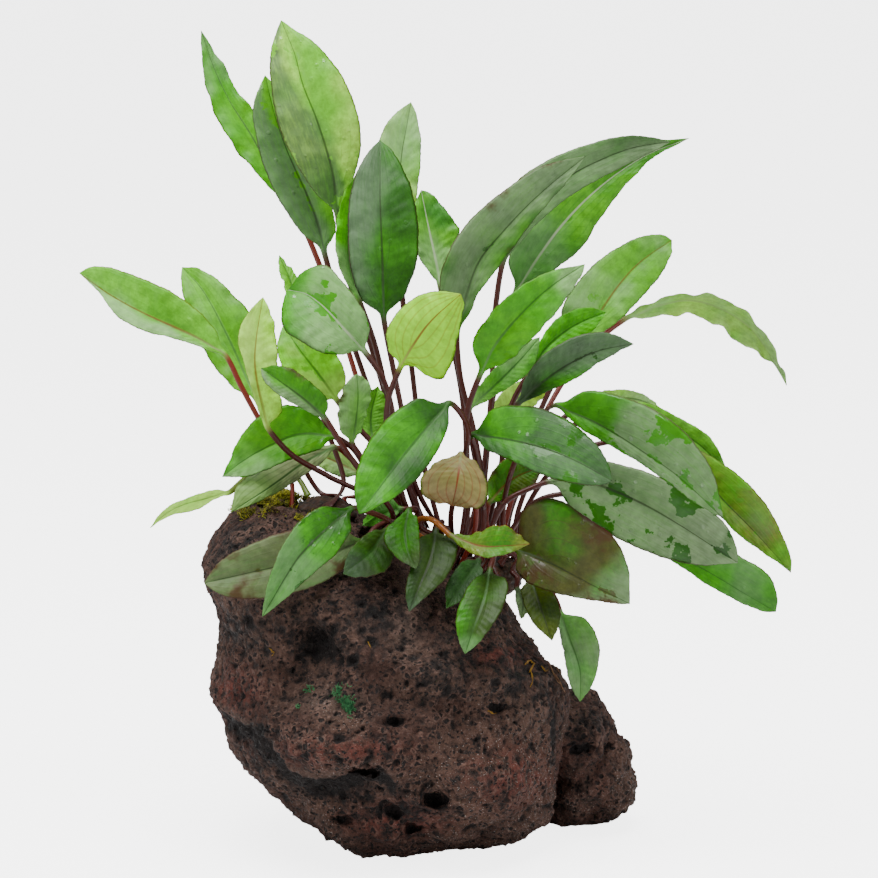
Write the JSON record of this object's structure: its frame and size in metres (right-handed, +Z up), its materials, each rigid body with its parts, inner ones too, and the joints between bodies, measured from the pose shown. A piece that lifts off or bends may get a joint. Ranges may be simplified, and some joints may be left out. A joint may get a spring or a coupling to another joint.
{
  "type": "aquarium plant on a rock",
  "caption": "Clump of broad and narrow pointed leaves on thin stalks, rooted in the top of a rough, pitted lump of lava rock with a low patch of moss.",
  "frame": {"origin": "on the flat patch under the rock that it stands on, within 5 mm of the middle of the whole object seen from above", "axes": "+Z up through the clump of leaves, -Y towards the viewer of the picture, +X to that viewer's right, where the small lobe of rock is"},
  "size_m": [0.1814, 0.1105, 0.2041],
  "materials": {
    "lava_stone": "matte",
    "rootstock": "satin",
    "moss_green": "matte",
    "leaf_bright": "satin",
    "leaf_light": "satin",
    "leaf_dark": "satin",
    "leaf_grey": "satin",
    "leaf_pale": "satin",
    "leaf_olive": "satin"
  },
  "bodies": {
    "root": {"rock": "lava_stone", "crown_left": "rootstock", "crown_middle": "rootstock", "crown_right": "rootstock", "moss_pad": "moss_green", "leaf_front_broad": "leaf_bright", "leaf_red_midrib": "leaf_pale", "leaf_left_browned": "leaf_dark", "leaf_lower_right_front": "leaf_bright", "leaf_centre_dark": "leaf_dark", "leaf_right_bright": "leaf_bright", "leaf_front_left": "leaf_bright", "leaf_left_curled": "leaf_bright", "leaf_centre_left_blunt": "leaf_grey", "leaf_left_pale": "leaf_light", "leaf_lower_right_broad": "leaf_dark", "leaf_front_small": "leaf_bright", "leaf_front_low": "leaf_bright", "leaf_front_folded": "leaf_light", "leaf_upper_right_grey": "leaf_grey", "leaf_front_blue_green": "leaf_bright", "leaf_front_brownish": "leaf_olive", "leaf_left_glossy": "leaf_bright", "leaf_centre_left_bright": "leaf_light", "leaf_front_short": "leaf_grey", "leaf_front_grey": "leaf_grey", "leaf_lower_right_wet": "leaf_dark", "leaf_right_shaded": "leaf_grey", "leaf_front_narrow": "leaf_dark", "leaf_mottled_underside": "leaf_olive", "leaf_low_dark": "leaf_dark", "leaf_right_dark": "leaf_dark", "leaf_upper_right_middle": "leaf_grey", "leaf_top_tallest": "leaf_light", "leaf_right_green": "leaf_bright", "leaf_behind_front": "leaf_olive", "leaf_front_right_small": "leaf_bright", "leaf_top_dark": "leaf_bright", "leaf_lower_right_bright": "leaf_bright", "leaf_top_narrow": "leaf_bright", "leaf_top_folded": "leaf_grey", "leaf_lower_right_olive": "leaf_olive", "leaf_lower_right_narrow": "leaf_bright", "leaf_small_dark": "leaf_dark", "leaf_left_underside": "leaf_light", "leaf_far_left": "leaf_bright", "leaf_front_right_tiny": "leaf_grey", "leaf_front_right_hanging": "leaf_bright", "leaf_right_veined": "leaf_bright", "leaf_right_arching": "leaf_bright", "leaf_left_green": "leaf_light", "leaf_small_bright": "leaf_bright", "leaf_top_pale": "leaf_light", "leaf_upper_right_back": "leaf_light", "leaf_top_left": "leaf_light", "leaf_left_thin": "leaf_light", "leaf_back_left": "leaf_light", "leaf_back_yellow": "leaf_light", "leaf_back_right": "leaf_bright"}
  },
  "joints": []
}
